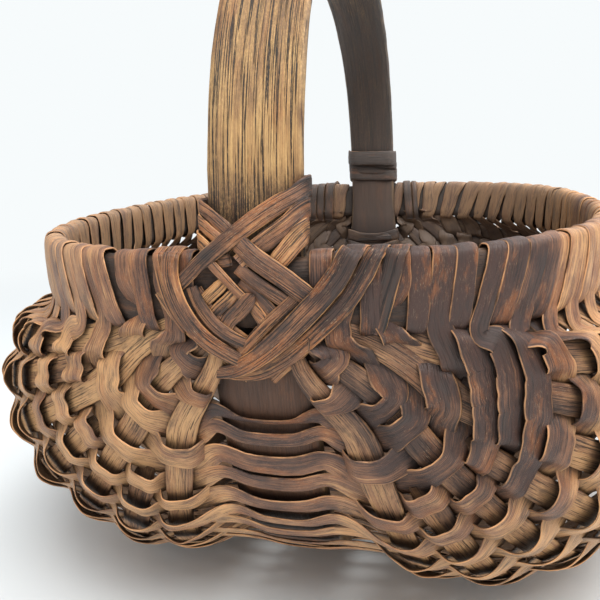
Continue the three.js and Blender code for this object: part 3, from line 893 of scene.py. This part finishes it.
# Lashings: splints laid over the crossing. Each place is x, height, width and layer. Between them a
# splint may come over the rim or pass round behind the handle or the keel.
LAYER = 0.8
LASHING_STEP = 0.8
LASHING = {
    "third": [(-4, 9, 3, 1.2), (-6.7, 8.5, 3, 0.8), (-9.7, 11, 3.2, 0.6), (-13, 13.5, 3.2, 0.4), "round",
              (15.2, 15.2, 4.8, 0.3), (10.3, 11.4, 4.9, 0.6), (7.9, 8.7, 4.7, 0.8), (5, 5.9, 4.2, 0.6)],
    "second": [(-4.1, 10.8, 3, 1.2), (-7.7, 13.9, 3, 1), (-10.5, 16, 2.8, 0.8), (-13, 17.5, 2.8, 0.6),
               "round", (15, 20, 5.0, 0.8), (10.2, 16.9, 5.1, 1), (5.5, 13.8, 5.0, 1.2),
               (1.8, 11.2, 4.6, 1.2), (-1.9, 8.1, 4.2, 1)],
    "first": [(16.6, -1.3, 4.6, 1.5), (13.3, 1.2, 4.9, 1.8), (7.7, 5.5, 4.9, 1.9), (2.1, 9.5, 4.9, 2),
              (-1.6, 12.5, 4.5, 2), (-5.3, 15.9, 3.8, 1.8), (-9.1, 18.8, 3.3, 1.5), (-12.7, 20.9, 3.2, 1.2),
              "round", (14.7, 25, 4.5, 1.3), (11.3, 23.3, 4.6, 1.8), (7.8, 21.5, 4.7, 2.4),
              (2.1, 18.1, 4.7, 3), (-3, 14.6, 4.5, 3.2), (-7.7, 11.1, 4.1, 3), (-12.1, 7.7, 3.7, 2.4),
              (-16, 4.3, 3.5, 2), (-18.9, 1.8, 3.3, 1.8)],
    "inner_cross": [(-9.9, 9.1, 2.3, 1.8), (-8.6, 7.8, 2.4, 1.9), (-5.4, 4.3, 2.4, 2), (-2, 0.6, 2.3, 2),
                    (1, -2.3, 2.3, 1.6), (3.2, -5.1, 2.1, 1.2)],
    "under_upper": [(-2.4, 7, 3.4, 1), (-0.1, 5.1, 3.4, 1.1), (3.6, 2.4, 3.4, 1.1), (8.6, -1, 3.4, 1),
                    (10.8, -2.9, 3.2, 0.8)],
    "under_lower": [(-2.2, 3.5, 3.2, 0.6), (0.4, 1.2, 3.4, 0.8), (4.5, -3, 3.4, 0.8),
                    (6.4, -5.4, 3.2, 0.6)],
    "finger_high": [(-12.1, -1.8, 3.3, 0.5), (-10.7, -0.5, 3.3, 0.8), (-8.5, 1.3, 3.3, 1.2),
                    (-6.9, 2.7, 3.1, 1.3), (-5.9, 3.6, 2.2, 1.2), (-5.5, 3.9, 0.9, 1.1)],
    "finger_middle": [(-9.4, -4.7, 3.4, 0.5), (-8, -3.3, 3.4, 0.8), (-5.4, -1.1, 3.4, 1.2),
                      (-3.6, 0.6, 3.2, 1.3), (-2.4, 1.7, 2.2, 1.2), (-2, 2.1, 0.9, 1.1)],
    "finger_low": [(-6.7, -7.9, 3.9, 0.6), (-5.4, -6.1, 4, 1), (-2.3, -3.2, 4.1, 1.8),
                   (-0.4, -1.2, 3.9, 2.4), (0.9, 0.1, 2.8, 2.3), (1.4, 0.6, 1.1, 2.2)],
    "finger_foot": [(0.4, -1.2, 2.6, 1.0), (1.6, -3.4, 3.0, 1.2), (3.2, -6.2, 3.2, 1.1),
                    (4.4, -8.2, 3.0, 0.7)],
    "inner_right": [(11.7, 0.2, 2.8, 1), (10.5, -1, 2.9, 1.2), (3.9, -7, 3, 1.4), (-2.8, -13.9, 3, 1.4),
                    (-5.3, -16.3, 2.8, 1.2)],
    "inner_left": [(-14.6, 2.2, 3.1, 1.4), (-13.8, -0.2, 3.3, 1.5), (-11.8, -3.8, 3.6, 1.6),
                   (-8.6, -7.6, 3.6, 1.6), (-5.1, -10.3, 3.4, 1.4), (-2.1, -11.9, 2.9, 1.2)],
    "left_behind": ["over_rim", (-23.2, 10, 2.6, 1.6), (-22.9, 5.4, 2.6, 1.6), (-21.8, 0, 2.6, 1.8),
                    (-19.8, -5, 2.6, 1.8), (-17, -9, 2.6, 1.6)],
    "left_outer": ["over_rim", (-19.1, 10.3, 4.2, 2.4), (-19.8, 5.7, 4.4, 2.8), (-18.9, 0.9, 4.6, 3),
                   (-16.5, -4.7, 4.6, 3), (-12.8, -9.9, 4.6, 2.8), (-8.4, -13.9, 4.4, 2.6),
                   (-4.1, -16.7, 3.8, 2.2)],
    "right_last": ["over_rim", (34.6, 10.2, 4.8, 0.9), (33.2, 5, 5.0, 1.0), (31.2, -2, 5.0, 0.6),
                   (29.2, -9.5, 4.6, -0.4)],
    "right_behind": ["over_rim", (30.1, 10.2, 4.3, 1.8), (27.6, 5.6, 4.4, 2), (23.8, -0.4, 4.5, 2.2),
                     (18.4, -6.3, 4.4, 2.4), (11.9, -12.4, 4.3, 2.2), (5.7, -17.3, 4.2, 2),
                     (-0.6, -20.7, 3.8, 1.8), (-6.1, -21.4, 3.2, 1.6), (-12, -19.8, 2.6, 1.4),
                     "round_keel"],
    "right_outer": ["over_rim", (24.8, 10.5, 5.2, 2.6), (21.7, 5.2, 5.6, 3), (17.8, 0.3, 5.8, 3.4),
                    (12.6, -5, 5.8, 3.6), (6.1, -11.2, 5.5, 3.8), (0.1, -16.1, 4.8, 3.6),
                    (-5.9, -19.7, 4, 3), (-11, -21, 3.2, 2.4), "round_keel"],
}


# Splints that close the corners below the rim, behind the ones in sight
for side in (-1, 1):
    for count, reach in enumerate((23.5, 19, 14.5)):
        LASHING[f"corner_{side}_{count}"] = [
            (side * reach, 1, 4.8, 0.3), (side * reach * 0.8, -reach * 0.25, 4.8, 0.35),
            (side * reach * 0.45, -reach * 0.6, 4.8, 0.35), (side * reach * 0.1, -reach * 0.95, 4.6, 0.3)]

# Turns and shares of a sidewise shift on the way over the rim, from the inside
OVER_RIM = ((-110, 1), (-150, 0.9), (180, 0.7), (150, 0.5), (120, 0.35), (90, 0.2), (60, 0.1))
OVER_RIM_SHIFT = 2.5

# Paths behind the handle or keel: shares of the way to its edge, and depths behind the crossing's face
ROUND_HANDLE = ((-1, 1.5), (-1, 4.5), (-0.85, 7.4), (0, 8), (0.85, 7.4), (1, 4.5), (1, 1.5))
ROUND_KEEL = ((-1.1, 1.5), (-1.1, 4.5), (-0.9, 7.2), (0, 7.6), (0.9, 7.2))
BAND_ROUND_HANDLE = ((-1, 1.0), (-1, 4.5), (-0.88, 7.8), (0, 8.2), (0.88, 7.8), (1, 4.5), (1, 1.0))

# Two wide turns round the handle above the back lashing: height, width and layer of each
BACK_BANDS = [(25.5, 8.0, 1.8), (16.0, 6.8, 1.4)]


# How far forward the hoops' faces are at the crossing
def crossing_face(x, z):
    rim_face = RIM_HALF_LENGTH * float(forward(angle_of_spread(abs(x) / RIM_HALF_WIDTH))) + RIM_THICKNESS / 2
    rise = HANDLE_RISE if z > 0 else KEEL_DEPTH
    handle_face = handle_half_length * float(forward(angle_of_spread(abs(z) / rise))) + HANDLE_THICKNESS / 2
    away = min(max((abs(z) - RIM_HEIGHT / 2) / 15, 0), 1)
    return rim_face * (1 - away) + handle_face * away


def over_rim_stations(x, width, layer):
    back_x = x + math.copysign(OVER_RIM_SHIFT, x)
    rim_y = RIM_HALF_LENGTH * float(forward(angle_of_spread(abs(back_x) / RIM_HALF_WIDTH)))
    proud = 1.2 + layer * 0.4
    stations = []
    for turn, shift in OVER_RIM:
        outward, high = oblong(math.radians(turn), 0.55)
        at = (x + (back_x - x) * shift, -(rim_y + (wrap_out + proud) * outward),
              (wrap_up + proud * 0.6) * high)
        stations.append(station(at, (1, 0, 0), width))
    return stations


def behind_station(x, z, face, deep, width):
    return station((x, -(face - deep + 0.6), z), (0, 0, 1), width)


def round_handle_stations(before, after):
    _, z, width, layer = before
    _, next_z, next_width, _ = after
    face = crossing_face(0, (z + next_z) / 2)
    stations = []
    for along, deep in ROUND_HANDLE:
        part = (along + 1) / 2
        reach = HANDLE_WIDTH / 2 + (1.0 + 0.3 * layer if abs(along) == 1 else 0)
        stations.append(behind_station(along * reach, z + (next_z - z) * part, face, deep,
                                       1.2 * (width + (next_width - width) * part)))
    return stations


def round_keel_stations(z, width):
    face = crossing_face(0, z)
    return [behind_station(along * (HANDLE_WIDTH / 2 + 1), z - 0.5 * (along + 1), face, deep, width)
            for along, deep in ROUND_KEEL]


def lashing_station(x, z, width, layer):
    depth = crossing_face(x, z) + GAP + SPLINT_THICKNESS / 2 + layer * LAYER
    return station((x, -depth, z), None, width)


# Lays a splint flat on the face of the crossing, and keeps it from turning over between two stations
def set_across(stations):
    tangents = unit(np.gradient(np.array([s["at"] for s in stations]), axis=0))
    for place, tangent in zip(stations, tangents):
        if place["across"] is None:
            place["across"] = unit(np.cross(tangent, (0, -1, 0)))
    for before, place in zip(stations, stations[1:]):
        if np.dot(before["across"], place["across"]) < 0:
            place["across"] = -np.array(place["across"])
    return stations


def lashing_splint(stations, tone):
    return splint(smooth_line(set_across(stations), LASHING_STEP), 0.06, warp=0.1, tone=tone)


def lashing_parts():
    parts = []
    for number, places in enumerate(LASHING.values()):
        stations = []
        for i, place in enumerate(places):
            if place == "over_rim":
                x, _, width, layer = places[i + 1]
                stations += over_rim_stations(x, width, layer)
            elif place == "round":
                stations += round_handle_stations(places[i - 1], places[i + 1])
            elif place == "round_keel":
                _, z, width, _ = places[i - 1]
                stations += round_keel_stations(z, width)
            elif "round" not in places[max(i - 1, 0):i + 2]:
                stations.append(lashing_station(*place))
        part = lashing_splint(stations, 0.3 * math.sin(number * 2.3))
        # Painted shade: the lashing is darker toward its right
        part["shade"][:, 2] -= 1.5 * smooth_part(part["points"][:, 0], 10, 26)
        parts.append(part)
    return parts


def handle_band(z, width, layer):
    face = crossing_face(0, z)
    stations = []
    for along, deep in BAND_ROUND_HANDLE:
        deep += 0.3 * layer if along == 0 else 0
        stations.append(behind_station(along * (HANDLE_WIDTH / 2 + 1.2), z + 0.6 * along, face, deep, width))
    return lashing_splint(stations, -0.6)


front = lashing_parts()
add_piece("splint_lashing_front", front, lashing_oak, ["lashing_front"])
back = []
for part in front + [handle_band(*band) for band in BACK_BANDS]:
    back.append({**part, "points": part["points"] * np.array([-1, -1, 1]),
                 "shade": part["shade"] - np.array([0, 0, 1.0])})
add_piece("splint_lashing_back", back, lashing_oak, ["lashing_back"])


# Floor, light and camera. The floor fades into the background over a range of distances in metres.
BACKGROUND = (0.93, 0.965, 0.975, 1)
FLOOR_COLOUR = (0.735, 0.77, 0.775, 1)
FLOOR_HALF_SIZE = 3.0
FLOOR_FADE = (0.3, 0.8)
SKY_LIGHT = (0.95, 0.97, 1, 1)
SKY_STRENGTH = 0.7
LAMP_TARGET = (0, 0, 0.1)
CAMERA_PLACE = (47.0, -260.1, 34.4)
CAMERA_YAW = math.radians(14.2)
CAMERA_DOWN = math.radians(13.97)
CAMERA_ROLL = math.radians(-2.555)
CAMERA_LENS = 37.25
SENSOR = 36


def floor():
    mesh = bpy.data.meshes.new("floor")
    size = FLOOR_HALF_SIZE
    mesh.from_pydata([(-size, -size, 0), (size, -size, 0), (size, size, 0), (-size, size, 0)], [],
                     [(0, 1, 2, 3)])
    made = bpy.data.objects.new("floor", mesh)
    bpy.context.scene.collection.objects.link(made)
    material = bpy.data.materials.new("floor")
    nodes = Nodes(material)
    shader = nodes.add("ShaderNodeBsdfPrincipled", {"Base Color": FLOOR_COLOUR, "Roughness": 0.9})
    backdrop = nodes.add("ShaderNodeEmission", {"Color": BACKGROUND})
    place = nodes.add("ShaderNodeNewGeometry").outputs["Position"]
    away = nodes.add("ShaderNodeVectorMath", {0: place}, operation="LENGTH").outputs["Value"]
    near, far = FLOOR_FADE
    fade = nodes.add("ShaderNodeMapRange", {"Value": away, "From Min": near, "From Max": far},
                     interpolation_type="SMOOTHSTEP")
    path = nodes.add("ShaderNodeLightPath")
    seen = nodes.product(fade.outputs[0], path.outputs["Is Camera Ray"])
    mixed = nodes.add("ShaderNodeMixShader", {0: seen, 1: shader.outputs[0], 2: backdrop.outputs[0]})
    nodes.add("ShaderNodeOutputMaterial", {0: mixed.outputs[0]})
    mesh.materials.append(material)


def world():
    made = bpy.data.worlds.new("world")
    bpy.context.scene.world = made
    nodes = Nodes(made)
    soft = nodes.add("ShaderNodeBackground", {"Color": SKY_LIGHT, "Strength": SKY_STRENGTH})
    seen = nodes.add("ShaderNodeBackground", {"Color": BACKGROUND, "Strength": 1.0})
    path = nodes.add("ShaderNodeLightPath")
    mixed = nodes.add("ShaderNodeMixShader",
                      {0: path.outputs["Is Camera Ray"], 1: soft.outputs[0], 2: seen.outputs[0]})
    nodes.add("ShaderNodeOutputWorld", {0: mixed.outputs[0]})


def lamp(name, place, size, power):
    data = bpy.data.lights.new(name, "AREA")
    data.size = size
    data.energy = power
    made = bpy.data.objects.new(name, data)
    bpy.context.scene.collection.objects.link(made)
    made.location = place
    aim = np.array(LAMP_TARGET) - np.array(place)
    made.rotation_euler = Vector(aim).to_track_quat("-Z", "Y").to_euler()


def camera():
    data = bpy.data.cameras.new("camera")
    data.sensor_width = SENSOR
    data.lens = CAMERA_LENS
    data.clip_start = 0.01
    made = bpy.data.objects.new("camera", data)
    bpy.context.scene.collection.objects.link(made)
    level = math.cos(CAMERA_DOWN)
    look = np.array([-math.sin(CAMERA_YAW) * level, math.cos(CAMERA_YAW) * level, -math.sin(CAMERA_DOWN)])
    right = np.array([math.cos(CAMERA_YAW), math.sin(CAMERA_YAW), 0])
    up = np.cross(right, look)
    rolled_right = math.cos(CAMERA_ROLL) * right + math.sin(CAMERA_ROLL) * up
    rolled_up = -math.sin(CAMERA_ROLL) * right + math.cos(CAMERA_ROLL) * up
    place = np.array(CAMERA_PLACE) * MM + (0, 0, rim_level)
    matrix = Matrix.Identity(4)
    for i in range(3):
        matrix[i][0], matrix[i][1], matrix[i][2] = rolled_right[i], rolled_up[i], -look[i]
        matrix[i][3] = place[i]
    made.matrix_world = matrix
    bpy.context.scene.camera = made


floor()
world()
lamp("key", (0.26, -0.46, 1.0), 0.65, 12)
lamp("fill", (0.5, 0.6, 0.9), 0.9, 5)
camera()
bpy.context.scene.view_settings.view_transform = "Standard"
